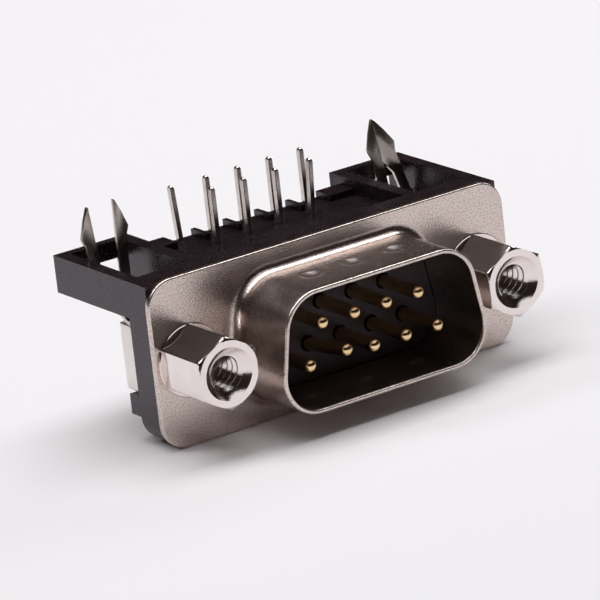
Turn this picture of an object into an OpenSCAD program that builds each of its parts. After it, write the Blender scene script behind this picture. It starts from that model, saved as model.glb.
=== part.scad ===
// Nine-way male D-sub connector, right-angle, for a printed circuit board.
// Millimetres. The origin is the centre of the flange's front face.
// +X runs along the flange, +Y goes back into the housing, +Z points to the board.
// The shell opens towards -Y. The solder tails stand up past the board face.

/* [Flange] */
// Length of the steel flange
flange_w = 30.8; // [30.6:0.1:31.4]
// Height of the steel flange
flange_h = 12.5; // [12.2:0.1:13]
// Corner radius of the flange
flange_r = 2; // [1:0.1:3]
// Thickness of the flange sheet
flange_t = 0.48; // [0.4:0.02:0.6]
// Distance between the two jackscrews
screw_pitch = 24.99; // [24.9:0.01:25.1]
// Clearance hole for each jackscrew's stud
stud_hole_d = 3.1; // [3:0.05:3.4]

/* [Shell] */
// Reach of the drawn shell in front of the flange
shell_reach = 6.1; // [5.8:0.1:6.3]
// Inside width of the shell's mouth, across its wider side
mouth_w = 16.92; // [16.8:0.01:17.1]
// Inside height of the shell's mouth
mouth_h = 8.36; // [8.2:0.01:8.5]
// Inside corner radius of the mouth
mouth_r = 2.6; // [2:0.1:2.8]
// Lean of the two short sides, in degrees
side_lean = 10; // [8:1:12]
// Wall of the drawn shell
shell_wall = 0.34; // [0.34:0.02:0.4]
// Radius where the shell is drawn out of the flange
root_r = 0.7; // [0.4:0.05:0.8]
// Width of one earthing dimple
dimple_w = 2; // [1.4:0.1:2.2]
// How deep a dimple is pressed into the shell
dimple_depth = 0.16; // [0.1:0.02:0.2]

/* [Contacts] */
// Distance between neighbours in a row
contact_pitch = 2.77; // [2.74:0.01:2.8]
// Distance between the two rows
row_gap = 2.84; // [2.8:0.01:2.9]
// Diameter of a contact pin
pin_d = 1; // [0.96:0.01:1.04]
// Reach of the pins in front of the flange
pin_reach = 4.95; // [4.6:0.05:5.3]
// Solder tail, along the row
tail_w = 0.36; // [0.3:0.02:0.5]
// Solder tail, across the rows
tail_t = 0.5; // [0.4:0.02:0.6]
// Flange face to the nearer row of tails
near_tail_y = 8.08; // [8:0.02:8.4]
// Height of the tail tips above the contact centre line
tail_top = 9.05; // [8.6:0.05:9.6]
// Lean of each contact's tail above the comb, towards +X, in degrees
tail_lean = [0, 0, 0, 0, -3.9, 3.4, 0, 0, 0]; // [-5:0.1:5]
// Lean of each contact's pin towards +X, in degrees
pin_lean = [0, 0, 0, 6, 0, 0, 0, 0, 0]; // [-6:0.1:6]
// Lean of each contact's pin towards the board, in degrees
pin_rise = [0, 0, 0, 4.3, 0, 0, 0, 0, 0]; // [-5:0.1:5]

/* [Jackscrews] */
// Hexagon across its flats
hex_af = 4.76; // [4.6:0.01:5]
// Reach of the hexagon in front of the flange
jack_reach = 4.95; // [4.6:0.05:5.5]
// Tapping-size bore for the mating screw
bore_d = 2.3; // [2.2:0.02:2.5]
// Depth of the tapped bore
bore_depth = 4.9; // [4.9:0.1:5.2]
// Wide end of the countersink at the mouth
sink_d = 3.7; // [3.2:0.1:3.9]
// Stud behind the hexagon
stud_d = 2.8; // [2.6:0.02:2.84]
// Turn of the left and right hexagons, in degrees
hex_turn = [30, 33]; // [0:1:60]

/* [Moulding] */
// Height of the board face above the contact centre line
board_z = 5.95; // [5.8:0.05:6.1]
// Length of the plastic bracket along the flange
bracket_w = 30.4; // [30.2:0.1:30.6]
// Thickness of the plastic wall behind the flange
back_wall = 2.6; // [2.2:0.1:3]
// How far the arms reach behind the flange face
arm_reach = 12.6; // [12.4:0.1:13]
// Height of an arm's side
arm_h = 2.8; // [2.6:0.1:3]
// Thickness of an arm's side, and of the rib across the channel from it
arm_t = 1; // [0.8:0.05:1]
// Width of the comb between the two ribs
comb_w = 17.9; // [17.6:0.1:18]
// Underside of the insulator below the centre line
core_drop = 5.36; // [5:0.02:5.6]

/* [Board locks] */
// Thickness of the board lock's sheet
lock_t = 0.3; // [0.25:0.01:0.35]
// Width of the strip that lies in the arm
lock_w = 3.2; // [3:0.1:3.2]
// Height of the barbed tips above the contact centre line
lock_top = 9.8; // [9:0.05:10]
// Lean of each lock's outer and inner prong towards +X, in degrees
lock_lean = [[-6, 1], [-12.5, -3]]; // [-16:0.5:8]
// Backward tilt of each lock's prongs, in degrees
lock_tilt = [0, 10]; // [0:1:12]
// From each lock's centre to the inner edges of its [outer, inner] prongs, left lock first
lock_in = [[0.59, 0.75], [0.68, 0.32]]; // [0.3:0.01:0.75]
// Swell of the outer prong's inner edge, where the prongs are squeezed together
lock_bow = [0, 0.62]; // [0:0.02:0.7]
// Side of the square nut
nut_w = 5; // [4.6:0.1:5]
// Thickness of the nut
nut_t = 1.5; // [1.2:0.1:1.8]

/* [Hidden] */
$fn = 48;

steel = "#b7aca4";
tin = "#c9c5c0";
black = "#2b282b";
gold = "#d9a441";

fit_gap = 0.02;                            // between a piece and what holds it
arc_proud = 0.004;                         // corner arcs cross their flats by this much
screw_x = screw_pitch / 2;
far_tail_y = near_tail_y + row_gap;
lock_y = (near_tail_y + far_tail_y) / 2;   // board lock prongs, midway between the tail rows
wall_y = flange_t + back_wall;             // rear of the plastic wall
nut_y = wall_y + lock_t;                   // front of the nut, behind the lock's plate

insulator_face = 0.25;                     // insulator's reach in front of the flange
insulator_back = 6.6;                      // insulator's rear face
insulator_w = comb_w - 0.1;
insulator_top = board_z - arm_h - 0.05;
shank_d = pin_d - 0.04;                    // contact inside the insulator
collar_y = [2, 3];                         // retaining collar on each contact
collar_d = 1.3;
bend_r = 1;                                // centre-line radius of a contact's bend
tip_bevel = 0.12;

comb_top = board_z - 1.08;
comb_back = 11.25;
rib_top = board_z - 0.6;                   // ribs that part the far row of tails
rib_w = 0.35;
rib_y = comb_back - 2.1;
end_block_x = 6.72;                        // blocks that close the comb's two ends
end_block_y = comb_back - 1.9;
end_wall_y = 11.8;                         // front of the wall across each arm's end
end_wall_h = 1.3;
wall_drop = 6.2;                           // foot of the plastic wall below the centre line
channel_x = [comb_w / 2 + arm_t, bracket_w / 2 - arm_t];
arm_low = board_z - arm_h;
ledge_z = [-nut_w / 2 - 1.7, -nut_w / 2 - 0.2];
ledge_y = 4.3;
ledge_w = 3.4;

hex_r = hex_af / 2 / cos(30);
collar_r = 2.65;                           // round seat under the hexagon
collar_h = 0.2;
mouth_bevel = 0.19;
stud_end = 5.6;
sink_depth = 0.8;

// The wide row holds contacts 1 to 5, the narrow row 6 to 9, counted from +X
function in_wide_row(n) = n <= 5;
function contact_x(n) = (in_wide_row(n) ? 3 - n : 7.5 - n) * contact_pitch;
function contact_z(n) = (in_wide_row(n) ? -1 : 1) * row_gap / 2;
function tail_y(n) = in_wide_row(n) ? far_tail_y : near_tail_y;

// ---- helpers ----

// A flat outline in X and Z, given thickness from y0 back to y1
module slab(y0, y1) {
    translate([0, y1, 0]) rotate([90, 0, 0]) linear_extrude(y1 - y0) children();
}

// A box between two opposite corners
module span(low, high) {
    translate(low) cube(high - low);
}

// A rod along Y
module rod(y0, y1, d) {
    slab(y0, y1) circle(d = d);
}

// Both ends of the connector, from the one at +X
module both_ends() {
    for (side = [0, 1]) mirror([side, 0, 0]) children();
}

module rounded_rect(w, h, r) {
    square([w, h - 2 * r], center = true);
    square([w - 2 * r, h], center = true);
    for (x = [-1, 1], z = [-1, 1])
        translate([x * (w / 2 - r), z * (h / 2 - r)]) circle(r);
}

// Corner centres of a D outline: wide side below, narrow side above.
// They stay put when the outline grows evenly all round.
function d_low(w, h, r) = [w / 2 - r, r - h / 2];
function d_high(w, h, r) = d_low(w, h, r) + (h - 2 * r) * [-tan(side_lean), 1];

module d_outline(w, h, r) {
    low = d_low(w, h, r);
    high = d_high(w, h, r);
    n = r * [cos(side_lean), sin(side_lean)];
    half = [[low.x, -h / 2], low + n, high + n, [high.x, h / 2]];
    polygon(concat(half, [for (i = [3:-1:0]) [-half[i].x, half[i].y]]));
    for (c = [low, high], side = [-1, 1])
        translate([side * c.x, c.y]) circle(r + arc_proud);
}

module d_inside(grow = 0) {
    d_outline(mouth_w + 2 * grow, mouth_h + 2 * grow, mouth_r + grow);
}

// ---- front shell ----

// The drawn root, as two low steps that follow its radius
module drawn_root() {
    for (a = [20, 50])
        slab(-root_r * (1 - sin(a)), flange_t / 2) d_inside(shell_wall + root_r * (1 - cos(a)));
}

// A dimple is a shallow cap pressed in from outside, so it takes a ball of this radius
dimple_ball = (dimple_w * dimple_w / 4 + dimple_depth * dimple_depth) / (2 * dimple_depth);
dimple_y = -2.95;
dimples_narrow = [-3.55, 0, 3.55];
dimples_wide = [-4.6, 0, 4.6];

module dimple_balls() {
    lift = mouth_h / 2 + shell_wall - dimple_depth + dimple_ball;
    for (x = dimples_narrow) translate([x, dimple_y, lift]) rotate([90, 0, 0]) sphere(dimple_ball);
    for (x = dimples_wide) translate([x, dimple_y, -lift]) rotate([90, 0, 0]) sphere(dimple_ball);
}

module front_shell() {
    color(steel) difference() {
        union() {
            slab(0, flange_t) rounded_rect(flange_w, flange_h, flange_r);
            slab(-shell_reach, flange_t) d_inside(shell_wall);
            drawn_root();
        }
        slab(-shell_reach - 1, flange_t + 1) d_inside();
        both_ends() translate([screw_x, 0, 0]) rod(-1, flange_t + 1, stud_hole_d);
        dimple_balls();
    }
}

// ---- insulator ----

module insulator() {
    plug_back = flange_t + fit_gap;
    color(black) difference() {
        union() {
            slab(-insulator_face, plug_back) d_inside(-2 * fit_gap);
            span([-insulator_w / 2, plug_back, -core_drop],
                 [insulator_w / 2, insulator_back, insulator_top]);
        }
        for (n = [1:9]) translate([contact_x(n), 0, contact_z(n)]) {
            rod(-1, collar_y[0], pin_d + 2 * fit_gap);
            rod(collar_y[0] - fit_gap, insulator_back + 1, collar_d + 2 * fit_gap);
        }
        // the plug stops short of the bracket's wall above the block
        span([-insulator_w, flange_t - fit_gap, insulator_top],
             [insulator_w, plug_back + 1, insulator_top + 3]);
        // draft relief under the rear, so that the foot is a bar across the flange
        span([-insulator_w / 2 + 1.2, flange_t + 1.6, -core_drop - 1],
             [insulator_w / 2 - 1.2, insulator_back - 1.2, -core_drop + 1.4]);
    }
}

// ---- contacts ----

// Free end of a tail, with a bevelled tip, standing on the comb's face
module tail_end() {
    half = tail_t / 2;
    h = tail_top - comb_top;
    rotate([90, 0, 90]) translate([0, 0, -tail_w / 2]) linear_extrude(tail_w)
        polygon([[-half, -0.05], [half, -0.05], [half, h - tip_bevel], [half - tip_bevel, h],
                 [tip_bevel - half, h], [-half, h - tip_bevel]]);
}

// Exposed pin with a round tip, reaching towards -Y
module pin(reach) {
    rod(pin_d / 2 - reach, 0.05, pin_d);
    translate([0, pin_d / 2 - reach, 0]) sphere(d = pin_d);
}

module contact(n) {
    z = contact_z(n);
    bend_y = tail_y(n) - bend_r;
    translate([contact_x(n), 0, 0]) {
        color(gold) translate([0, 0, z]) {
            rod(-insulator_face - 0.1, collar_y[0] + 0.1, shank_d);
            translate([0, -insulator_face, 0])
                rotate([-pin_rise[n - 1], 0, pin_lean[n - 1]]) pin(pin_reach - insulator_face);
        }
        color(tin) {
            translate([0, 0, z]) rod(collar_y[0], collar_y[1], collar_d);
            span([-tail_w / 2, collar_y[1] - 0.1, z - tail_t / 2],
                 [tail_w / 2, bend_y, z + tail_t / 2]);
            translate([0, bend_y, z + bend_r]) rotate([0, 90, 0]) rotate_extrude(angle = 90)
                translate([bend_r - tail_t / 2, -tail_w / 2]) square([tail_t, tail_w]);
            span([-tail_w / 2, tail_y(n) - tail_t / 2, z + bend_r],
                 [tail_w / 2, tail_y(n) + tail_t / 2, comb_top]);
            translate([0, tail_y(n), comb_top]) rotate([0, tail_lean[n - 1], 0]) tail_end();
        }
    }
}

// ---- jackscrews ----

// Half section of the bar that the hexagon is cut from, with its bevelled mouth
module turned_blank() {
    slope = sqrt(3);
    polygon([[0, -1], [hex_r + slope, -1], [hex_r + slope, jack_reach - mouth_bevel - 1],
             [hex_r - mouth_bevel * slope, jack_reach], [0, jack_reach]]);
}

module jackscrew(turn) {
    color(steel) difference() {
        union() {
            intersection() {
                slab(-jack_reach, 0) rotate(turn) circle(hex_r, $fn = 6);
                rotate([90, 0, 0]) rotate_extrude() turned_blank();
            }
            rod(-collar_h, 0, collar_r * 2);
            rod(-collar_h, stud_end, stud_d);
        }
        rotate([90, 0, 0]) {
            translate([0, 0, jack_reach - bore_depth]) cylinder(h = bore_depth + 1, d = bore_d);
            translate([0, 0, jack_reach - sink_depth])
                cylinder(h = sink_depth, d1 = bore_d, d2 = sink_d);
            translate([0, 0, jack_reach - 0.001]) cylinder(h = 1, d = sink_d);
        }
    }
}

module jackscrew_left() { translate([-screw_x, 0, 0]) jackscrew(hex_turn[0]); }
module jackscrew_right() { translate([screw_x, 0, 0]) jackscrew(hex_turn[1]); }

// ---- nuts ----

module nut() {
    color(tin) slab(nut_y, nut_y + nut_t) difference() {
        square(nut_w, center = true);
        circle(d = stud_d + 2 * fit_gap);
    }
}

module nut_left() { translate([-screw_x, 0, 0]) nut(); }
module nut_right() { translate([screw_x, 0, 0]) nut(); }

// ---- board locks ----

strip_low = arm_low + 0.15;                // underside of the strip in the arm's channel
plate_top = nut_w / 2 + fit_gap;
joggle_y = [nut_y + 0.5, nut_y + 1.75];
prong_w = 0.84;
barb_w = 1.08;
prong_foot = strip_low + lock_t;

// Side view of the strip: up behind the wall, over the nut, then back along the arm
module strip_side() {
    top = plate_top + lock_t;
    polygon([[wall_y, -nut_w / 2], [nut_y, -nut_w / 2], [nut_y, plate_top],
             [joggle_y[0], plate_top], [joggle_y[1], strip_low],
             [lock_y + lock_t / 2, strip_low], [lock_y + lock_t / 2, prong_foot + 0.4],
             [lock_y - lock_t / 2, prong_foot + 0.4], [lock_y - lock_t / 2, prong_foot],
             [joggle_y[1] - 0.15, prong_foot], [joggle_y[0] - 0.15, top], [wall_y, top]]);
}

// The strip at width w, kept between two corners given in Y and Z
module strip_slice(w, low, high) {
    intersection() {
        rotate([90, 0, 90]) translate([0, 0, -w / 2]) linear_extrude(w) strip_side();
        span([-w, low.x, low.y], [w, high.x, high.y]);
    }
}

// One barbed prong, with its barb towards +X, leaning about its foot.
// bow is how far its inner edge swells towards the other prong.
module prong(lean, bow = 0) {
    length = lock_top - prong_foot;
    swell = bow > 0 ? [[-bow, 3.3], [0, 2]] : [];
    slab(-lock_t / 2, lock_t / 2) rotate(-lean)
        polygon(concat([[0, -0.2], [prong_w, -0.2], [prong_w, length - 2.85],
                        [barb_w, length - 2.15], [0.12, length], [0, length]], swell));
}

// side is -1 for the left lock and +1 for the right one. lean and inset are [outer, inner],
// and inset runs from the lock's centre to each prong's inner edge.
// The strip is wide behind the wall and narrows before it enters the arm.
module boardlock(side, lean, inset, tilt, bow) {
    color(tin) translate([side * screw_x, 0, 0]) {
        difference() {
            strip_slice(nut_w, [wall_y, -nut_w], [joggle_y[1], arm_low - fit_gap]);
            rod(wall_y - 1, nut_y + 1, stud_hole_d);
        }
        strip_slice(lock_w, [joggle_y[0], plate_top], [lock_y + lock_t, lock_top]);
        translate([0, lock_y, prong_foot]) rotate([-tilt, 0, 0]) {
            translate([side * inset[0], 0, 0]) mirror([side < 0 ? 1 : 0, 0, 0]) prong(side * lean[0], bow);
            translate([-side * inset[1], 0, 0]) mirror([side > 0 ? 1 : 0, 0, 0]) prong(-side * lean[1]);
        }
    }
}

module boardlock_left() { boardlock(-1, lock_lean[0], lock_in[0], lock_tilt[0], lock_bow[0]); }
module boardlock_right() { boardlock(1, lock_lean[1], lock_in[1], lock_tilt[1], lock_bow[1]); }

// ---- bracket ----

// Outline of the wall behind the flange: square at the board, rounded at the foot
module wall_outline() {
    half = bracket_w / 2;
    translate([-half, flange_r - wall_drop]) square([bracket_w, board_z + wall_drop - flange_r]);
    translate([flange_r - half, -wall_drop]) square([bracket_w - 2 * flange_r, flange_r]);
    for (s = [-1, 1]) translate([s * (half - flange_r), flange_r - wall_drop]) circle(flange_r);
}

// The arm at +X: a channel with a side, a rib and a low wall across its end
module arm() {
    span([channel_x[1], wall_y, arm_low], [bracket_w / 2, arm_reach, board_z]);
    span([comb_w / 2, wall_y, arm_low], [channel_x[0], arm_reach, board_z]);
    span([comb_w / 2, end_wall_y, board_z - end_wall_h], [bracket_w / 2, arm_reach, board_z]);
    span([bracket_w / 2 - ledge_w, wall_y, ledge_z[0]], [bracket_w / 2, ledge_y, ledge_z[1]]);
}

// Plate between the arms that guides the tails, with a rib between each far pair
module comb() {
    span([-comb_w / 2, wall_y, arm_low], [comb_w / 2, comb_back, comb_top]);
    for (i = [-1.5:1.5])
        translate([i * contact_pitch, 0, 0])
            span([-rib_w / 2, rib_y, arm_low], [rib_w / 2, comb_back, rib_top]);
    both_ends() span([end_block_x, end_block_y, arm_low], [comb_w / 2 + 0.1, comb_back, rib_top]);
}

module tail_slots() {
    half = [tail_w / 2, tail_t / 2] + fit_gap * [2, 2];
    for (n = [1:9]) translate([contact_x(n), tail_y(n), 0]) {
        open_y = in_wide_row(n) ? comb_back : half.y;
        span([-half.x, -half.y, 0], [half.x, open_y, 2 * board_z]);
    }
}

module bracket() {
    color(black) difference() {
        union() {
            slab(flange_t, wall_y) wall_outline();
            both_ends() arm();
            comb();
        }
        // room for the insulator, open at the foot
        span([-comb_w / 2, flange_t - 1, -wall_drop - 1], [comb_w / 2, wall_y + 1, arm_low]);
        both_ends() translate([screw_x, 0, 0]) rod(0, wall_y + 1, stud_hole_d);
        tail_slots();
    }
}

front_shell();
insulator();
bracket();
for (n = [1:9])
    contact(n);
jackscrew_left();
jackscrew_right();
nut_left();
nut_right();
boardlock_left();
boardlock_right();
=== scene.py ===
# %% [markdown]
# # A nine-way D-sub connector
# This lesson dresses a small circuit-board connector: a drawn steel shell with nine
# gold pins, two hexagonal jackscrews, a black moulded bracket and two board locks.
# A measured model of every piece is loaded first. It fixes the sizes, and each new
# piece is then built to the same measures, with the edges, threads and finishes
# that the measured model leaves out.

import math

import bmesh
import bpy
from mathutils import Matrix, Vector


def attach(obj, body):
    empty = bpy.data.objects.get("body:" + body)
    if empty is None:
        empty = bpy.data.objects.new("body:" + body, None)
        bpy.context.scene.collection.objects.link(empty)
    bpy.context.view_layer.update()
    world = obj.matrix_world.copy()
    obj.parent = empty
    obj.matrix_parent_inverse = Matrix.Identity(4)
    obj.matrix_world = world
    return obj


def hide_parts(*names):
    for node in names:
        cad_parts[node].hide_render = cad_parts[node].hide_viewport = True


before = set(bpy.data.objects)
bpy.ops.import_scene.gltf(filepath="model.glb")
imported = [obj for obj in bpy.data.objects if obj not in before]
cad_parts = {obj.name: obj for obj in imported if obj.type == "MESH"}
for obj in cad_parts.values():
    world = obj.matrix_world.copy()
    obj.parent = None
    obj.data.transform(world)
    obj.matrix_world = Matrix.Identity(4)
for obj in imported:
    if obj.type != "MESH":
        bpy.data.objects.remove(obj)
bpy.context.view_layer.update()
print("measured pieces:", len(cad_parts))

# %% [markdown]
# ## Working at a comfortable size
# The connector is only 31 mm long, and some of its edges are rounded by a twentieth
# of a millimetre. Blender's merge and bevel tools are safest when a unit is not tiny
# next to the detail, so each piece is built with one unit to the millimetre, and
# `deliver` shrinks it to metres at the end. Everything is deselected before each
# primitive, because an operator acts on all that is selected.

# %% Selecting and editing
MM = 0.001


def clear_selection():
    if bpy.context.mode != "OBJECT":
        bpy.ops.object.mode_set(mode="OBJECT")
    bpy.ops.object.select_all(action="DESELECT")


def pick(piece):
    clear_selection()
    piece.select_set(True)
    bpy.context.view_layer.objects.active = piece


def edit(piece):
    pick(piece)
    bpy.ops.object.mode_set(mode="EDIT")
    bpy.ops.mesh.select_all(action="DESELECT")


def named(name):
    piece = bpy.context.object
    piece.name = piece.data.name = name
    return piece


def weld(piece, distance=1e-5):
    edit(piece)
    bpy.ops.mesh.select_all(action="SELECT")
    bpy.ops.mesh.remove_doubles(threshold=distance)
    clear_selection()


def face_outwards(piece):
    edit(piece)
    bpy.ops.mesh.select_all(action="SELECT")
    bpy.ops.mesh.normals_make_consistent(inside=False)
    clear_selection()


# %% [markdown]
# ## Four ways to start a piece
# A block is a cube primitive put at its size and place. A plate is a disc primitive
# whose rim is laid along an outline and then extruded. A tube is a grid primitive
# rolled up: each of its rows is laid along one closed outline, and the seam is
# welded. A turned piece is a tube whose rows are circles. Most metal and moulded
# parts are one of these four, so a few short helpers serve the whole connector.

# %% Blocks, plates, tubes and turned pieces
def block(name, low, high):
    clear_selection()
    middle = [(a + b) / 2 for a, b in zip(low, high)]
    size = [b - a for a, b in zip(low, high)]
    bpy.ops.mesh.primitive_cube_add(size=1, location=middle, scale=size)
    bpy.ops.object.transform_apply(location=True, rotation=True, scale=True)
    return named(name)


def plate(name, outline, axis, start, end):
    """An outline in the two directions across axis (0, 1 or 2), extruded along it."""
    clear_selection()
    bpy.ops.mesh.primitive_circle_add(vertices=len(outline), radius=1, fill_type="NGON")
    piece = named(name)
    for vertex, point in zip(piece.data.vertices, outline):
        place = list(point)
        place.insert(axis, start)
        vertex.co = place
    step = [0, 0, 0]
    step[axis] = end - start
    bpy.ops.object.mode_set(mode="EDIT")
    bpy.ops.mesh.select_all(action="SELECT")
    bpy.ops.mesh.extrude_region_move(TRANSFORM_OT_translate={"value": step})
    face_outwards(piece)
    return piece


def tube(name, rows):
    """Rows are closed outlines of equal length, each a list of (x, y, z)."""
    clear_selection()
    across = len(rows[0])
    bpy.ops.mesh.primitive_grid_add(x_subdivisions=across, y_subdivisions=len(rows) - 1, size=1)
    piece = named(name)
    places = [row[c % across] for row in rows for c in range(across + 1)]
    piece.data.vertices.foreach_set("co", [value for place in places for value in place])
    piece.data.update()
    weld(piece)
    return piece


def turned(name, profile, segments=64, centre=(0, 0)):
    """A profile of (radius, y) turned about an axis along Y through centre (x, z)."""
    rows = []
    for radius, y in profile:
        rows.append([(centre[0] + radius * math.cos(math.tau * s / segments), y,
                      centre[1] + radius * math.sin(math.tau * s / segments))
                     for s in range(segments)])
    piece = tube(name, rows)
    close_openings(piece)
    face_outwards(piece)
    return piece


def close_openings(piece):
    edit(piece)
    bpy.ops.mesh.select_mode(type="EDGE")
    bpy.ops.mesh.select_non_manifold(extend=False, use_wire=False, use_multi_face=False,
                                     use_non_contiguous=False, use_verts=False)
    bpy.ops.mesh.edge_face_add()
    bpy.ops.mesh.select_mode(type="VERT")
    clear_selection()


# %% [markdown]
# ## Joining, cutting and softening
# Moulded corners come from joining plain blocks and cutting holes, as a mould maker
# does. Boolean modifiers do both, and a Bevel modifier then rounds what is left, so
# that each edge catches a thin line of light. A perfectly sharp edge never does.

# %% Boolean and bevel helpers
def combine(piece, others, operation):
    for other in others:
        pick(piece)
        change = piece.modifiers.new(operation.lower(), "BOOLEAN")
        change.object = other
        change.operation = operation
        change.solver = "EXACT"
        bpy.ops.object.modifier_apply(modifier=change.name)
        bpy.data.objects.remove(other, do_unlink=True)
    return piece


def soften(piece, width, segments=2, angle=30):
    pick(piece)
    change = piece.modifiers.new("soften", "BEVEL")
    change.width = width
    change.segments = segments
    change.limit_method = "ANGLE"
    change.angle_limit = math.radians(angle)
    change.use_clamp_overlap = True
    bpy.ops.object.modifier_apply(modifier=change.name)
    return piece


def joined(name, pieces):
    clear_selection()
    for piece in pieces:
        piece.select_set(True)
    bpy.context.view_layer.objects.active = pieces[0]
    bpy.ops.object.join()
    return named(name)


def deliver(piece, nodes, finish, smooth=32):
    """Brings a finished piece to metres, shades it, gives it its finish, hangs it under the root and
    hides the measured pieces it stands for.
    """
    pick(piece)
    piece.scale = (MM, MM, MM)
    bpy.ops.object.transform_apply(location=True, rotation=True, scale=True)
    bpy.ops.object.shade_smooth_by_angle(angle=math.radians(smooth))
    piece.data.materials.clear()
    piece.data.materials.append(finish)
    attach(piece, "root")
    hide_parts(*nodes)
    print(piece.name, len(piece.data.polygons), "faces")
    return piece


# %% [markdown]
# ## Measures
# These repeat the measured model's own values, in millimetres. The origin is the
# centre of the flange's front face, the shell opens towards -Y, and the circuit
# board lies towards +Z.

# %% Main measures
FLANGE = (30.8, 12.5, 2.0)         # length, height, corner radius
FLANGE_T = 0.48
SCREW_X = 24.99 / 2
STUD_HOLE_R = 1.55
SHELL_REACH = 6.1
MOUTH = (16.92, 8.36, 2.6)         # width, height, corner radius
SIDE_LEAN = math.radians(10)
SHELL_WALL = 0.34
ROOT_R = 0.7
CONTACT_PITCH, ROW_GAP = 2.77, 2.84
NEAR_TAIL_Y = 8.08
FAR_TAIL_Y = NEAR_TAIL_Y + ROW_GAP
BOARD_Z = 5.95
WALL_Y = FLANGE_T + 2.6
LOCK_T = 0.3
NUT_Y = WALL_Y + LOCK_T
LOCK_Y = (NEAR_TAIL_Y + FAR_TAIL_Y) / 2
BRACKET_W, COMB_W, ARM_T, ARM_REACH = 30.4, 17.9, 1.0, 12.6
ARM_LOW = BOARD_Z - 2.8
COMB_TOP = BOARD_Z - 1.08

# %% [markdown]
# ## Finishes from expressions
# Writing shader maths as a chain of boxes is hard to read, so one small class wraps
# a node's output and lets Python's own signs add the Math nodes. `1 - mask` and
# `speckle * 0.3 + 0.2` then mean what they say. The `node` method makes any other
# node from its type, its settings and the values or links of its sockets.

# %% A wrapped socket
class Wire:
    def __init__(self, sheet, socket):
        self.sheet, self.socket = sheet, socket

    def _maths(self, operation, first, second):
        return self.sheet.node("ShaderNodeMath", {"operation": operation}, {0: first, 1: second})

    def __add__(self, other):
        return self._maths("ADD", self, other)

    def __radd__(self, other):
        return self._maths("ADD", other, self)

    def __sub__(self, other):
        return self._maths("SUBTRACT", self, other)

    def __rsub__(self, other):
        return self._maths("SUBTRACT", other, self)

    def __mul__(self, other):
        return self._maths("MULTIPLY", self, other)

    def __rmul__(self, other):
        return self._maths("MULTIPLY", other, self)

    def __truediv__(self, other):
        return self._maths("DIVIDE", self, other)

    def __rtruediv__(self, other):
        return self._maths("DIVIDE", other, self)

    def __pow__(self, other):
        return self._maths("POWER", self, other)

    def least(self, other):
        return self._maths("MINIMUM", self, other)

    def most(self, other):
        return self._maths("MAXIMUM", self, other)


class Finish:
    """One material and the node sheet it is drawn on."""

    def __init__(self, name, **constants):
        self.material = bpy.data.materials.new(name)
        self.material.use_nodes = True
        self.tree = self.material.node_tree
        self.shader = self.tree.nodes["Principled BSDF"]
        for socket, value in constants.items():
            self.shader.inputs[socket.replace("_", " ")].default_value = value

    def plug(self, socket, value):
        if isinstance(value, Wire):
            self.tree.links.new(value.socket, socket)
        elif isinstance(value, tuple) and len(value) == 3 and socket.type == "RGBA":
            socket.default_value = (*value, 1)
        else:
            socket.default_value = value

    def node(self, kind, settings=None, inputs=None, out=0):
        box = self.tree.nodes.new(kind)
        for setting, value in (settings or {}).items():
            if setting == "stops":
                ramp = box.color_ramp.elements
                while len(ramp) < len(value):
                    ramp.new(0.5)
                for stop, (place, level) in zip(ramp, value):
                    stop.position = place
                    stop.color = (level, level, level, 1)
            else:
                setattr(box, setting, value)
        for socket, value in (inputs or {}).items():
            self.plug(box.inputs[socket], value)
        return Wire(self, box.outputs[out])

    def place(self):
        """Object coordinates, counted in millimetres."""
        where = self.node("ShaderNodeTexCoord", out=3)
        return self.node("ShaderNodeVectorMath", {"operation": "SCALE"},
                         {0: where, "Scale": 1 / MM})

    def noise(self, where, scale, detail=2, stops=None):
        value = self.node("ShaderNodeTexNoise", {"noise_dimensions": "3D"},
                          {"Vector": where, "Scale": scale, "Detail": detail})
        if stops:
            value = self.node("ShaderNodeValToRGB", {"stops": stops}, {"Fac": value})
        return value

    def blend(self, mask, first, second):
        """Colour that goes from first to second as mask goes from 0 to 1."""
        box = self.tree.nodes.new("ShaderNodeMix")
        box.data_type = "RGBA"
        self.plug(box.inputs[0], mask)
        self.plug(box.inputs[6], first)
        self.plug(box.inputs[7], second)
        return Wire(self, box.outputs[2])

    def bump(self, height, distance, strength=1.0):
        """Height 0 to 1 stands for distance in millimetres."""
        return self.node("ShaderNodeBump", None,
                         {"Height": height, "Distance": distance * MM, "Strength": strength})

    def wear(self, **sockets):
        """What changes over the surface."""
        for name, value in sockets.items():
            self.plug(self.shader.inputs[name.replace("_", " ")], value)
        return self.material


# %% [markdown]
# ## Metals and mouldings
# The flange is tinned steel with a fine sparkling satin: thousands of tiny pits tilt
# the reflection a little each way. The screws are polished, with faint marks along
# the bar. The pins are gold in front and bright tin behind the insulator. The
# mouldings are black glass-filled plastic, with a soft grain that spreads highlights.

# %% Steel of the shell
def shell_steel():
    steel = Finish("shell_steel", Metallic=1.0)
    at = steel.place()
    grain = steel.noise(at, 7, 3)
    fine = steel.noise(at, 17, 2)
    cloud = steel.noise(at, 0.35, 3)
    pits = steel.noise(at, 9, 2, stops=[(0.36, 0.0), (0.50, 1.0)])
    colour = steel.blend(cloud, (0.62, 0.53, 0.485), (0.78, 0.69, 0.645))
    colour = steel.blend(pits, (0.40, 0.33, 0.30), colour)
    rough = 0.15 + 0.12 * grain + 0.06 * cloud
    height = 0.6 * grain + 0.4 * fine
    return steel.wear(Base_Color=colour, Roughness=rough, Normal=steel.bump(height, 0.016))


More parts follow.
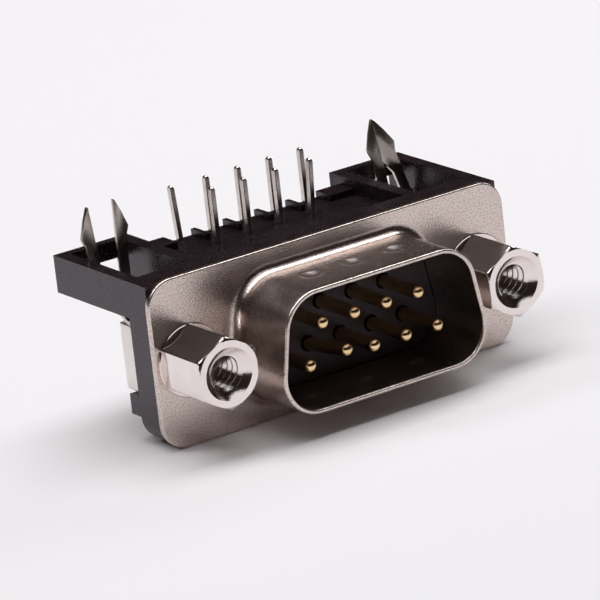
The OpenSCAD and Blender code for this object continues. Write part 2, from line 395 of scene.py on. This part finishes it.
# %% Polished steel of the jackscrews
def screw_steel():
    steel = Finish("screw_steel", Metallic=1.0)
    at = steel.place()
    drawn = steel.node("ShaderNodeMapping", None, {"Vector": at, "Scale": (9, 0.6, 9)})
    streak = steel.noise(drawn, 1.0, 3)
    cloud = steel.noise(at, 0.8, 2)
    colour = steel.blend(cloud, (0.76, 0.69, 0.66), (0.88, 0.81, 0.79))
    return steel.wear(Base_Color=colour, Roughness=0.08 + 0.10 * streak,
                      Normal=steel.bump(streak, 0.006))


# %% Gold in front, tin behind
def contact_metal():
    metal = Finish("contact_metal", Metallic=1.0)
    at = metal.place()
    along = metal.node("ShaderNodeSeparateXYZ", None, {0: at}, out=1)
    tinned = (along - 1.4).most(0.0).least(1.0)
    cloud = metal.noise(at, 2.2, 3)
    gold = metal.blend(cloud, (0.80, 0.55, 0.28), (0.94, 0.74, 0.46))
    tin = metal.blend(cloud, (0.50, 0.45, 0.42), (0.74, 0.69, 0.66))
    grain = metal.noise(at, 16, 2)
    return metal.wear(Base_Color=metal.blend(tinned, gold, tin),
                      Roughness=0.10 + 0.12 * grain + 0.08 * tinned,
                      Normal=metal.bump(grain, 0.006))


# %% Tin of the nuts and board locks
def sheet_tin(name, dark, light, rough):
    metal = Finish(name, Metallic=1.0)
    at = metal.place()
    cloud = metal.noise(at, 0.9, 3)
    grain = metal.noise(at, 12, 3)
    return metal.wear(Base_Color=metal.blend(cloud, dark, light), Roughness=rough + 0.14 * grain,
                      Normal=metal.bump(grain, 0.008))


# %% Black mouldings
def black_plastic(name, shine, dark, light):
    plastic = Finish(name, Specular_Tint=(1.0, 0.82, 0.93, 1), Specular_IOR_Level=0.55)
    at = plastic.place()
    grain = plastic.noise(at, 5, 4)
    cloud = plastic.noise(at, 0.7, 2)
    return plastic.wear(Base_Color=plastic.blend(cloud, dark, light),
                        Roughness=shine + 0.16 * grain + 0.14 * cloud,
                        Normal=plastic.bump(grain, 0.02))


finishes = {
    "shell_steel": shell_steel(),
    "jackscrew_steel": screw_steel(),
    "contact_metal": contact_metal(),
    "nut_tin": sheet_tin("nut_tin", (0.70, 0.66, 0.63), (0.86, 0.82, 0.79), 0.22),
    "lock_tin": sheet_tin("lock_tin", (0.48, 0.42, 0.38), (0.68, 0.62, 0.58), 0.15),
    "bracket_plastic": black_plastic("bracket_plastic", 0.12,
                                     (0.007, 0.004, 0.005), (0.015, 0.009, 0.013)),
    # The insulator's black is darker than the bracket's: partly its own black, partly painted shade
    # for the dark inside of the shell's mouth.
    "insulator_plastic": black_plastic("insulator_plastic", 0.35,
                                       (0.004, 0.003, 0.003), (0.008, 0.006, 0.006)),
}
print("finishes:", ", ".join(finishes))

# %% [markdown]
# ## The shell
# The shell is one piece of sheet steel: a flange from which a D-shaped cup is drawn,
# with its floor cut away. A boolean cup would have a hard root, so the whole cup is
# one tube of rows instead. Each row is the same D grown by a little, and the rows
# run up the inside, over the rim, down the outside and out along the root's radius.

# %% The D outline
def d_corners():
    width, height, radius = MOUTH
    low = (width / 2 - radius, radius - height / 2)
    high = (low[0] - (height - 2 * radius) * math.tan(SIDE_LEAN), height / 2 - radius)
    return low, high


def d_stations(arc_steps=14, flat_step=0.16):
    """Points round the D: each has a place on the corner centres and a direction."""
    low, high = d_corners()
    centres = [low, high, (-high[0], high[1]), (-low[0], low[1])]
    turns = [-90, math.degrees(SIDE_LEAN), 90, 180 - math.degrees(SIDE_LEAN), 270]
    stations = []
    for k, centre in enumerate(centres):
        a0, a1 = turns[k], turns[k + 1]
        for s in range(arc_steps):
            a = math.radians(a0 + (a1 - a0) * s / arc_steps)
            stations.append((centre, (math.cos(a), math.sin(a))))
        following = centres[(k + 1) % 4]
        a = math.radians(a1)
        count = max(2, round(math.dist(centre, following) / flat_step))
        for s in range(count):
            t = s / count
            spot = tuple(p + (q - p) * t for p, q in zip(centre, following))
            stations.append((spot, (math.cos(a), math.sin(a))))
    return stations


D_STATIONS = d_stations()


def d_row(grow, y, sink=None):
    reach = MOUTH[2] + grow
    row = []
    for (cx, cz), (nx, nz) in D_STATIONS:
        x, z = cx + reach * nx, cz + reach * nz
        drop = sink(x, y, nz) if sink else 0
        row.append((x - drop * nx, y, z - drop * nz))
    return row


print("points round the D:", len(D_STATIONS))

# %% [markdown]
# Three shallow dimples are pressed into each long side. They grip the plug's shell
# and make the earth connection. Both faces of the sheet sink together, so the
# dimples stand out inside the mouth. They are made by moving points of the rows,
# which keeps the sheet's thickness, where a boolean would thin it.

# %% Dimples and the cup
DIMPLE_Y, DIMPLE_R, DIMPLE_DEPTH = -2.95, 0.95, 0.2
DIMPLES = {1: (-3.55, 0.0, 3.55), -1: (-4.6, 0.0, 4.6)}


def dimple_sink(x, y, nz):
    if abs(nz) < 0.999:
        return 0
    for middle in DIMPLES[round(nz)]:
        away = math.hypot(x - middle, y - DIMPLE_Y) / DIMPLE_R
        if away < 1:
            return DIMPLE_DEPTH * (1 - away ** 2) ** 1.5
    return 0


def shell_cup():
    fine = [DIMPLE_Y + DIMPLE_R * (1.1 - 0.1 * s) for s in range(23)]
    wall_ys = [-0.7, -1.2] + fine + [-4.4, -5.0, -5.6, -5.96]
    path = [(0.12, FLANGE_T), (0.03, FLANGE_T - 0.06), (0.0, FLANGE_T - 0.16)]
    path += [(0.0, y) for y in [0.0] + wall_ys]
    rim = -SHELL_REACH
    path += [(0.02, rim + 0.06), (0.07, rim + 0.015), (0.12, rim),
             (SHELL_WALL - 0.12, rim), (SHELL_WALL - 0.05, rim + 0.02),
             (SHELL_WALL - 0.01, rim + 0.07)]
    path += [(SHELL_WALL, y) for y in reversed(wall_ys)]
    for step in range(1, 9):
        a = math.radians(90 * step / 8)
        path.append((SHELL_WALL + ROOT_R * (1 - math.cos(a)), -ROOT_R * (1 - math.sin(a))))
    return tube("cup", [d_row(grow, y, dimple_sink) for grow, y in path])


# %% [markdown]
# The flange is added round the cup's open root. Its rim and its two screw holes are
# tubes as well, and Fill then spans the flat front and back between their openings,
# leaving the holes open. The flats stay flat-shaded, so no highlight bends on them.

# %% The flange
def rounded_rect_row(width, height, radius, y, arc_steps=10):
    row = []
    for k, (sx, sz) in enumerate([(1, -1), (1, 1), (-1, 1), (-1, -1)]):
        cx, cz = sx * (width / 2 - radius), sz * (height / 2 - radius)
        for s in range(arc_steps + 1):
            a = math.radians(-90 + 90 * (k + s / arc_steps))
            row.append((cx + radius * math.cos(a), y, cz + radius * math.sin(a)))
    return row


def flange_rim():
    width, height, radius = FLANGE
    section = [(0.11, 0.0), (0.045, 0.012), (0.012, 0.045), (0.0, 0.11),
               (0.0, FLANGE_T - 0.06), (0.02, FLANGE_T - 0.015), (0.06, FLANGE_T)]
    return tube("rim", [rounded_rect_row(width - 2 * i, height - 2 * i, radius - i, y)
                        for i, y in section])


def ring_row(radius, y, centre, segments=48):
    return [(centre + radius * math.cos(math.tau * s / segments), y,
             radius * math.sin(math.tau * s / segments)) for s in range(segments)]


def fill_flat(piece, y):
    edit(piece)
    bpy.ops.mesh.select_mode(type="EDGE")
    mesh = bmesh.from_edit_mesh(piece.data)
    for edge in mesh.edges:
        edge.select = edge.is_boundary and all(abs(v.co.y - y) < 1e-4 for v in edge.verts)
    bmesh.update_edit_mesh(piece.data)
    bpy.ops.mesh.fill(use_beauty=True)
    bpy.ops.mesh.select_mode(type="VERT")
    clear_selection()


def front_shell():
    holes = [tube("hole", [ring_row(STUD_HOLE_R, y, side * SCREW_X) for y in (0.0, FLANGE_T)])
             for side in (-1, 1)]
    shell = joined("steel_shell", [shell_cup(), flange_rim()] + holes)
    fill_flat(shell, 0.0)
    fill_flat(shell, FLANGE_T)
    weld(shell)
    face_outwards(shell)
    return shell


def flatten_flats(piece, ys):
    """Flat shading for the faces that lie in the planes y."""
    for face in piece.data.polygons:
        if abs(face.normal.y) > 0.9999 and any(abs(face.center.y - y * MM) < 1e-7 for y in ys):
            face.use_smooth = False


shell = deliver(front_shell(), ["front_shell"], finishes["shell_steel"], 40)
flatten_flats(shell, (0.0, FLANGE_T))

# %% [markdown]
# ## Insulator
# The insulator is a black moulded block with a D-shaped plug in front. The plug is a
# plate, the block a softened cube, and each pin comes out of a small moulded cone.

# %% Build the insulator
INSULATOR_W, INSULATOR_BACK, INSULATOR_FOOT = 17.8, 6.6, -5.36
PIN_HOLE_R, PIT_R, WELL_R = 0.53, 0.98, 0.67


def contact_seat(n):
    """(x, z, tail y) of contact n: 1 to 5 in the wide row, 6 to 9 in the narrow one."""
    if n <= 5:
        return (3 - n) * CONTACT_PITCH, -ROW_GAP / 2, FAR_TAIL_Y
    return (7.5 - n) * CONTACT_PITCH, ROW_GAP / 2, NEAR_TAIL_Y


def insulator():
    plug = plate("moulded_insulator", [(x, z) for x, _, z in d_row(-0.04, 0)], 1, -0.25, 0.8)
    half = INSULATOR_W / 2
    body = block("body", (-half, 0.5, INSULATOR_FOOT), (half, INSULATOR_BACK, 3.1))
    soften(body, 0.12, 3)
    combine(plug, [body], "UNION")
    pit = [(0.0, -1.0), (PIT_R, -1.0), (PIN_HOLE_R, -0.05), (PIN_HOLE_R, 1.2), (0.0, 1.2)]
    well = [(0.0, 4.4), (WELL_R, 4.4), (WELL_R, 7.5), (0.0, 7.5)]
    cutters = [block("relief", (-7.7, 2.08, INSULATOR_FOOT - 1), (7.7, 5.4, INSULATOR_FOOT + 1.4))]
    for n in range(1, 10):
        x, z, _ = contact_seat(n)
        cutters.append(turned("pit", pit, 24, (x, z)))
        cutters.append(turned("well", well, 24, (x, z)))
    return combine(plug, cutters, "DIFFERENCE")


deliver(insulator(), ["insulator"], finishes["insulator_plastic"])

# %% [markdown]
# ## Contacts
# Each contact is a turned pin in front and a flat, bent tail behind. The tail is a
# tube too: a small rectangle with broken corners is carried along the path, round
# the bend and up to the bevelled tip. One pin and two tails lean, as handling
# leaves them.

# %% Pins and tails
PIN_R, PIN_REACH, PIN_KNEE = 0.5, 4.95, -0.25
TAIL_W, TAIL_T, TAIL_TOP, BEND_R = 0.36, 0.5, 9.05, 1.0
TAIL_LEAN = {5: -3.9, 6: 3.4}
PIN_LEAN = {4: (6.0, 4.3)}
COLLAR = [(0.0, 2.0), (0.6, 2.0), (0.65, 2.05), (0.65, 2.95), (0.6, 3.0), (0.0, 3.0)]


def pin(x, z, lean):
    nose = [(PIN_R * math.sin(math.radians(a)),
             PIN_R - PIN_REACH - PIN_R * math.cos(math.radians(a))) for a in range(0, 91, 10)]
    shank = [(PIN_R, -0.2), (PIN_R, 0.3), (0.48, 0.32), (0.48, 2.0), (0.0, 2.0)]
    piece = turned("pin", nose + shank, 40)
    if lean != (0, 0):
        turn = (Matrix.Rotation(math.radians(lean[0]), 3, "Z")
                @ Matrix.Rotation(-math.radians(lean[1]), 3, "X"))
        knee = Vector((0, PIN_KNEE, 0))
        for vertex in piece.data.vertices:
            if vertex.co.y < PIN_KNEE:
                vertex.co = knee + turn @ (vertex.co - knee)
    for vertex in piece.data.vertices:
        vertex.co += Vector((x, 0, z))
    return piece


def tail_section(scale):
    a, b, c = TAIL_W / 2 * scale, TAIL_T / 2 * scale, 0.035
    return [(a - c, -b), (a, c - b), (a, b - c), (a - c, b),
            (c - a, b), (-a, b - c), (-a, c - b), (c - a, -b)]


def tail(x, z, tail_y, lean):
    rows = []

    def station(y, height, slope, shrink=1.0, shift=0.0):
        """A section at (y, height), crossing a path that climbs at slope degrees."""
        s, c = math.sin(math.radians(slope)), math.cos(math.radians(slope))
        rows.append([(x + shift + u, y - v * s, height + v * c) for u, v in tail_section(shrink)])

    station(2.9, z, 0)
    station(tail_y - BEND_R, z, 0)
    for step in range(1, 8):
        a = 90 * step / 8
        station(tail_y - BEND_R + BEND_R * math.sin(math.radians(a)),
                z + BEND_R - BEND_R * math.cos(math.radians(a)), a)
    station(tail_y, z + BEND_R, 90)
    for height, shrink in ((COMB_TOP, 1), (TAIL_TOP - 0.22, 1), (TAIL_TOP - 0.06, 0.72),
                           (TAIL_TOP, 0.4)):
        station(tail_y, height, 90, shrink, (height - COMB_TOP) * math.tan(math.radians(lean)))
    piece = tube("tail", rows)
    close_openings(piece)
    face_outwards(piece)
    return piece


def contact(n):
    x, z, tail_y = contact_seat(n)
    collar = turned("collar", COLLAR, 32, (x, z))
    parts = [pin(x, z, PIN_LEAN.get(n, (0, 0))), collar, tail(x, z, tail_y, TAIL_LEAN.get(n, 0))]
    return joined(f"pin_and_tail_{n}", parts)


for n in range(1, 10):
    deliver(contact(n), [f"contact_{n}"], finishes["contact_metal"], 28)

# %% [markdown]
# ## Jackscrews
# A jackscrew is a hexagonal bar, turned at the mouth to a low cone, drilled,
# countersunk and tapped, with a threaded stud behind. The bar is a tube whose rows
# are a hexagon with slightly rounded corners. Near the mouth each point keeps to the
# smaller of the hexagon and the turned cone, which gives the curved line that a real
# chamfer has. The thread is a zigzag turned and raised by the Screw modifier, and
# it is cut out of the bar as a tap would.

# %% Threads
THREAD_PITCH = 0.635


def thread(name, crest_r, root_r, start, turns, segments=40):
    """A closed rod along Y whose surface is a screw thread, from y = start forwards."""
    clear_selection()
    p = THREAD_PITCH
    profile = [(crest_r, 0.0), (crest_r, 0.12 * p), (root_r, 0.46 * p), (root_r, 0.66 * p),
               (crest_r, p)]
    bpy.ops.mesh.primitive_circle_add(vertices=len(profile), radius=1)
    piece = named(name)
    for vertex, (radius, rise) in zip(piece.data.vertices, profile):
        vertex.co = (radius, 0, rise)
    edit(piece)
    mesh = bmesh.from_edit_mesh(piece.data)
    mesh.verts.ensure_lookup_table()
    closing = mesh.edges.get((mesh.verts[0], mesh.verts[len(profile) - 1]))
    mesh.edges.remove(closing)
    bmesh.update_edit_mesh(piece.data)
    pick(piece)
    winding = piece.modifiers.new("winding", "SCREW")
    winding.axis = "Z"
    winding.angle = math.tau
    winding.screw_offset = p
    winding.iterations = turns
    winding.steps = winding.render_steps = segments
    winding.use_merge_vertices = True
    winding.merge_threshold = 0.001
    bpy.ops.object.modifier_apply(modifier=winding.name)
    weld(piece, 0.001)
    for vertex in piece.data.vertices:
        x, y, z = vertex.co
        vertex.co = (x, start - z, y)
    close_openings(piece)
    face_outwards(piece)
    return piece


# %% The screw body
HEX_R = 4.76 / 2 / math.cos(math.radians(30))
JACK_REACH, BORE_DEPTH, SINK_R, SINK_DEPTH = 4.95, 4.9, 1.9, 0.46
MOUTH_CONE = 0.19
COLLAR_R, COLLAR_H = 2.68, 0.2
STUD_END = 5.6
STUD_R, TAP_R = (1.4, 1.14), (1.43, 1.15)          # crest and root of each thread
THREAD_TURNS = 9


def hexagon(turn, corner_r=0.14, arc_steps=4, flat_steps=6):
    """Directions and radii round a hexagon with rounded corners, turned by degrees."""
    points = []
    inner = HEX_R - corner_r / math.cos(math.radians(30))
    for k in range(6):
        middle = math.radians(60 * k + turn)
        centre = (inner * math.cos(middle), inner * math.sin(middle))
        arc = [(centre[0] + corner_r * math.cos(middle + math.radians(a)),
                centre[1] + corner_r * math.sin(middle + math.radians(a)))
               for a in [-30 + 60 * s / arc_steps for s in range(arc_steps + 1)]]
        points += arc
        following = math.radians(60 * (k + 1) + turn)
        end = (inner * math.cos(following) + corner_r * math.cos(middle + math.radians(30)),
               inner * math.sin(following) + corner_r * math.sin(middle + math.radians(30)))
        points += [tuple(p + (q - p) * s / flat_steps for p, q in zip(arc[-1], end))
                   for s in range(1, flat_steps)]
    return points


def jackscrew(side, turn):
    centre = side * SCREW_X
    outline = hexagon(turn)
    rows = []
    for y in [0.0, -1.2, -2.4, -3.6, -4.2] + [-4.5 - 0.03 * s for s in range(15)] + [-4.93, -4.95]:
        cone = HEX_R + (y + JACK_REACH - MOUTH_CONE) * math.sqrt(3)
        rows.append([(centre + px * min(1, cone / math.hypot(px, pz)), y,
                      pz * min(1, cone / math.hypot(px, pz))) for px, pz in outline])
    body = tube("body", rows)
    close_openings(body)
    face_outwards(body)
    seat = turned("seat", [(0.0, -COLLAR_H), (COLLAR_R - 0.05, -COLLAR_H),
                           (COLLAR_R, 0.05 - COLLAR_H), (COLLAR_R, 0.0), (0.0, 0.0)], 96, (centre, 0))
    stud = thread("stud", *STUD_R, STUD_END, THREAD_TURNS)
    tap = thread("tap", *TAP_R, BORE_DEPTH - JACK_REACH, THREAD_TURNS)
    for rod in (stud, tap):
        for vertex in rod.data.vertices:
            vertex.co.x += centre
    floor_y = SINK_DEPTH - JACK_REACH
    sink = turned("sink", [(0.0, -5.6), (SINK_R + 0.3, -5.6), (SINK_R + 0.03, -4.96),
                           (SINK_R - 0.02, -4.91), (1.44, floor_y), (1.2, floor_y + 0.1),
                           (1.1, floor_y + 0.3), (0.0, floor_y + 0.3)], 64, (centre, 0))
    combine(body, [seat, stud], "UNION")
    return combine(body, [tap, sink], "DIFFERENCE")


for label, side, turn in (("left", -1, 30), ("right", 1, 33)):
    screw = jackscrew(side, turn)
    screw.name = screw.data.name = f"hex_screw_{label}"
    deliver(screw, [f"jackscrew_{label}"], finishes["jackscrew_steel"], 24)

# %% [markdown]
# ## Bracket
# The bracket is one moulding: a wall behind the flange, a channel-shaped arm at each
# end, and a comb between them that guides the tails. It is joined from blocks, cut,
# and softened all over at once, so that inner and outer corners match.

# %% Build the bracket
COMB_BACK, RIB_FOOT, RIB_TOP = 11.25, ARM_LOW + 0.4, BOARD_Z - 0.6
SLOT_HALF_W, SLOT_HALF_T = 0.22, 0.29


def wall_outline():
    half, foot, radius = BRACKET_W / 2, -6.2, FLANGE[2]
    points = [(half, BOARD_Z), (-half, BOARD_Z)]
    for sx, start in ((-1, 180), (1, 270)):
        cx, cz = sx * (half - radius), foot + radius
        points += [(cx + radius * math.cos(math.radians(start + 9 * s)),
                    cz + radius * math.sin(math.radians(start + 9 * s))) for s in range(11)]
    return points


def arm_blocks(side):
    outer, inner = BRACKET_W / 2, COMB_W / 2

    def span(x0, x1, y0, y1, z0, z1):
        xs = sorted((side * x0, side * x1))
        return block("arm", (xs[0], y0, z0), (xs[1], y1, z1))

    front = WALL_Y - 0.4
    return [span(outer - ARM_T, outer, front, ARM_REACH, ARM_LOW, BOARD_Z),
            span(inner, inner + ARM_T, front, ARM_REACH, ARM_LOW, BOARD_Z),
            span(inner + 0.3, outer - 0.3, 11.8, ARM_REACH, BOARD_Z - 1.3, BOARD_Z),
            span(outer - 3.4, outer, front, 4.3, -4.2, -2.7)]


def bracket():
    body = plate("moulded_bracket", wall_outline(), 1, FLANGE_T, WALL_Y)
    parts = arm_blocks(-1) + arm_blocks(1)
    parts.append(block("comb", (-COMB_W / 2 - 0.3, WALL_Y - 0.4, ARM_LOW),
                       (COMB_W / 2 + 0.3, COMB_BACK, COMB_TOP)))
    for k in (-1.5, -0.5, 0.5, 1.5):
        x = k * CONTACT_PITCH
        parts.append(block("rib", (x - 0.175, 9.15, RIB_FOOT), (x + 0.175, COMB_BACK, RIB_TOP)))
    for side in (-1, 1):
        xs = sorted((side * 6.72, side * (COMB_W / 2 + 0.3)))
        parts.append(block("stop", (xs[0], 9.35, RIB_FOOT), (xs[1], COMB_BACK, RIB_TOP)))
    combine(body, parts, "UNION")
    cuts = [block("room", (-COMB_W / 2, -1, -8), (COMB_W / 2, WALL_Y + 1, ARM_LOW))]
    hole = [(0, -1), (STUD_HOLE_R, -1), (STUD_HOLE_R, 5), (0, 5)]
    cuts += [turned("hole", hole, 48, (side * SCREW_X, 0)) for side in (-1, 1)]
    for n in range(1, 10):
        x, _, y = contact_seat(n)
        back = 12 if n <= 5 else y + SLOT_HALF_T
        cuts.append(block("slot", (x - SLOT_HALF_W, y - SLOT_HALF_T, 0), (x + SLOT_HALF_W, back, 12)))
    combine(body, cuts, "DIFFERENCE")
    weld(body, 1e-4)
    return soften(body, 0.07, 2)


deliver(bracket(), ["bracket"], finishes["bracket_plastic"], 35)

# %% [markdown]
# ## Nuts and board locks
# Each jackscrew's stud holds a square nut, and under the nut lies a strip of thin
# spring sheet. The strip steps over the nut, runs back along the arm's channel and
# ends in two barbed prongs that snap into the board. Sheet parts are plates cut from
# their side view, joined, with their edges barely broken.

# %% Nuts
NUT_W, NUT_T = 5.0, 1.5


def nut(side):
    x, half = side * SCREW_X, NUT_W / 2
    body = block("nut", (x - half, NUT_Y, -half), (x + half, NUT_Y + NUT_T, half))
    soften(body, 0.14, 3)
    bore = turned("bore", [(0, NUT_Y - 1), (1.42, NUT_Y - 1), (1.42, NUT_Y + NUT_T - 0.16),
                           (1.66, NUT_Y + NUT_T + 0.1), (1.66, NUT_Y + 3), (0, NUT_Y + 3)], 48, (x, 0))
    return combine(body, [bore], "DIFFERENCE")


for label, side in (("left", -1), ("right", 1)):
    piece = nut(side)
    piece.name = piece.data.name = f"square_nut_{label}"
    deliver(piece, [f"nut_{label}"], finishes["nut_tin"], 30)

# %% Board locks
STRIP_LOW = ARM_LOW + 0.15
PLATE_TOP = NUT_W / 2 + 0.02
JOGGLE_Y = (NUT_Y + 0.5, NUT_Y + 1.75)
PRONG_FOOT = STRIP_LOW + LOCK_T
LOCK_TOP = 9.8
LOCK_IN = {-1: (0.59, 0.75), 1: (0.68, 0.32)}
LOCK_BOW = {-1: 0, 1: 0.62}
LOCK_LEAN = {-1: (-6, 1), 1: (-12.5, -3)}
LOCK_TILT = {-1: 0, 1: 10}


def strip(width, x, y_limit, z_limit):
    top = PLATE_TOP + LOCK_T
    side_view = [(WALL_Y, -NUT_W / 2), (NUT_Y, -NUT_W / 2), (NUT_Y, PLATE_TOP),
                 (JOGGLE_Y[0], PLATE_TOP), (JOGGLE_Y[1], STRIP_LOW), (LOCK_Y + LOCK_T / 2, STRIP_LOW),
                 (LOCK_Y + LOCK_T / 2, PRONG_FOOT + 0.4), (LOCK_Y - LOCK_T / 2, PRONG_FOOT + 0.4),
                 (LOCK_Y - LOCK_T / 2, PRONG_FOOT), (JOGGLE_Y[1] - 0.15, PRONG_FOOT),
                 (JOGGLE_Y[0] - 0.15, top), (WALL_Y, top)]
    piece = plate("strip", side_view, 0, x - width / 2, x + width / 2)
    keep = block("keep", (x - width, y_limit[0], z_limit[0]), (x + width, y_limit[1], z_limit[1]))
    return combine(piece, [keep], "INTERSECT")


def prong(centre, inner_x, facing, lean, tilt, bow):
    """A barbed prong standing at inner_x from the lock's centre, its barb towards facing.

    It leans and tilts by degrees, and its inner edge swells by bow where the two
    prongs are squeezed together.
    """
    length = LOCK_TOP - PRONG_FOOT
    outline = [(0, -0.2), (0.84, -0.2), (0.84, length - 2.85), (1.08, length - 2.15),
               (0.6, length - 0.95), (0.12, length), (0, length)]
    if bow:
        outline += [(-0.8 * bow, 4.4), (-bow, 3.3), (0, 2)]
    if facing < 0:
        outline = [(-u, v) for u, v in reversed(outline)]
    piece = plate("prong", outline, 1, -LOCK_T / 2, LOCK_T / 2)
    stand = Matrix.Rotation(-math.radians(tilt), 3, "X")
    swing = Matrix.Rotation(math.radians(lean), 3, "Y")
    for vertex in piece.data.vertices:
        spot = stand @ (swing @ vertex.co + Vector((inner_x, 0, 0)))
        vertex.co = spot + Vector((centre, LOCK_Y, PRONG_FOOT))
    return soften(piece, 0.05, 2)


def boardlock(side):
    centre = side * SCREW_X
    wide = strip(NUT_W, centre, (WALL_Y - 1, JOGGLE_Y[1]), (-4, ARM_LOW - 0.02))
    narrow = strip(3.2, centre, (JOGGLE_Y[0], LOCK_Y + 1), (PLATE_TOP, 12))
    hole = turned("hole", [(0, 2), (STUD_HOLE_R, 2), (STUD_HOLE_R, 5), (0, 5)], 48, (centre, 0))
    outer_lean, inner_lean = LOCK_LEAN[side]
    outer_in, inner_in = LOCK_IN[side]
    prongs = [prong(centre, side * outer_in, side, outer_lean, LOCK_TILT[side], LOCK_BOW[side]),
              prong(centre, -side * inner_in, -side, inner_lean, LOCK_TILT[side], 0)]
    combine(wide, [narrow], "UNION")
    combine(wide, [hole], "DIFFERENCE")
    soften(wide, 0.04, 2)
    return combine(wide, prongs, "UNION")


for label, side in (("left", -1), ("right", 1)):
    piece = boardlock(side)
    piece.name = piece.data.name = f"barbed_lock_{label}"
    deliver(piece, [f"boardlock_{label}"], finishes["lock_tin"], 30)

# %% [markdown]
# ## Table, light and camera
# The connector stands on a pale table under one broad lamp, almost overhead and a
# little behind, so its shadow gathers in front of the shell. A small lamp on each
# side keeps the shadows soft.

# %% Table
TABLE_Z = -0.00626                 # a hair below the flange's lower edge, in metres
clear_selection()
bpy.ops.mesh.primitive_grid_add(x_subdivisions=2, y_subdivisions=2, size=3,
                                location=(0, 0, TABLE_Z))
floor = named("floor")
bpy.ops.object.transform_apply(location=True, rotation=True, scale=True)
table = Finish("pale_table", Roughness=0.7, Specular_IOR_Level=0.1)
table.plug(table.shader.inputs["Base Color"], (0.90, 0.882, 0.908))
floor.data.materials.append(table.material)

# %% [markdown]
# Polished metal shows the room, so the room matters as much as the lamps. A dark
# curtain stands all round the table, and the flats that lean towards it turn deep
# brown. The camera itself doesn't see the curtain, and looks past it at a pale
# backdrop.

# %% Curtain
CURTAIN_R, CURTAIN_H = 0.8, 0.9
clear_selection()
bpy.ops.mesh.primitive_cylinder_add(vertices=64, radius=CURTAIN_R, depth=CURTAIN_H,
                                    end_fill_type="NOTHING", location=(0, 0, 0.44))
curtain = named("curtain")
bpy.ops.object.transform_apply(location=True, rotation=True, scale=True)
cloth = Finish("curtain_cloth", Roughness=1.0, Specular_IOR_Level=0.0)
cloth.plug(cloth.shader.inputs["Base Color"], (0.05, 0.035, 0.028))
curtain.data.materials.append(cloth.material)
curtain.visible_camera = False

# %% [markdown]
# The world lights the table with a weak warm fill. Rays from the camera, and those
# that a shiny or clear surface sends on, see a pale colour in its place, so the
# backdrop is pale without putting more light on the connector.

# %% World
world = bpy.data.worlds.new("studio")
bpy.context.scene.world = world
world.use_nodes = True
sky = world.node_tree
back = sky.nodes["Background"]
back.inputs["Color"].default_value = (1, 0.985, 0.97, 1)
back.inputs["Strength"].default_value = 0.23
bright = sky.nodes.new("ShaderNodeBackground")
bright.inputs["Color"].default_value = (0.89, 0.872, 0.898, 1)
bright.inputs["Strength"].default_value = 1.0
paths = sky.nodes.new("ShaderNodeLightPath")
seen = paths.outputs["Is Camera Ray"]
for ray in ("Is Glossy Ray", "Is Transmission Ray"):
    either = sky.nodes.new("ShaderNodeMath")
    either.operation = "MAXIMUM"
    sky.links.new(seen, either.inputs[0])
    sky.links.new(paths.outputs[ray], either.inputs[1])
    seen = either.outputs[0]
chooser = sky.nodes.new("ShaderNodeMixShader")
sky.links.new(seen, chooser.inputs[0])
sky.links.new(back.outputs[0], chooser.inputs[1])
sky.links.new(bright.outputs[0], chooser.inputs[2])
sky.links.new(chooser.outputs[0], sky.nodes["World Output"].inputs["Surface"])

# %% [markdown]
# The long side of the main lamp runs along the flange, so the curved root of the
# shell shows it as one thin bright line.

# %% Lamps
def soft_lamp(name, place, turn, size, power):
    clear_selection()
    bpy.ops.object.light_add(type="AREA", location=place)
    lamp = bpy.context.object
    lamp.name = name
    lamp.data.shape = "RECTANGLE"
    lamp.data.size, lamp.data.size_y = size
    lamp.data.energy = power
    lamp.rotation_euler = turn
    return lamp


soft_lamp("key", (0.10, 0.05, 0.58), (0, 0, 0), (0.95, 0.26), 3.65)
soft_lamp("left", (-0.52, 0.36, 0.58), (0, 0, 0), (0.26, 0.20), 1.5)
soft_lamp("right", (0.6, 0.2, 0.3), (0, math.radians(64.5), math.radians(18.4)), (0.2, 0.2), 0.8)

# %% [markdown]
# The camera stands well back with a long lens, a little to the left and above, and
# rolled by a few degrees, so the connector climbs towards the right.

# %% Camera
AZIMUTH, ELEVATION, ROLL = math.radians(-32.58), math.radians(17.72), math.radians(-6.46)
AIM = Vector((-1.82, 1.65, 1.18)) * MM
DISTANCE = 369.95 * MM
back_way = Vector((math.cos(ELEVATION) * math.sin(AZIMUTH), -math.cos(ELEVATION) * math.cos(AZIMUTH),
                   math.sin(ELEVATION)))
clear_selection()
bpy.ops.object.camera_add(location=AIM + back_way * DISTANCE)
camera = bpy.context.object
turn = (Matrix.Rotation(AZIMUTH, 3, "Z") @ Matrix.Rotation(math.pi / 2 - ELEVATION, 3, "X")
        @ Matrix.Rotation(ROLL, 3, "Z"))
camera.rotation_euler = turn.to_euler()
camera.data.sensor_width = 36
camera.data.lens = 311.0
camera.data.clip_start = 0.01
camera.data.dof.use_dof = False
bpy.context.scene.camera = camera
bpy.context.scene.view_settings.view_transform = "Standard"
print("camera at", [round(v / MM, 1) for v in camera.location], "mm")
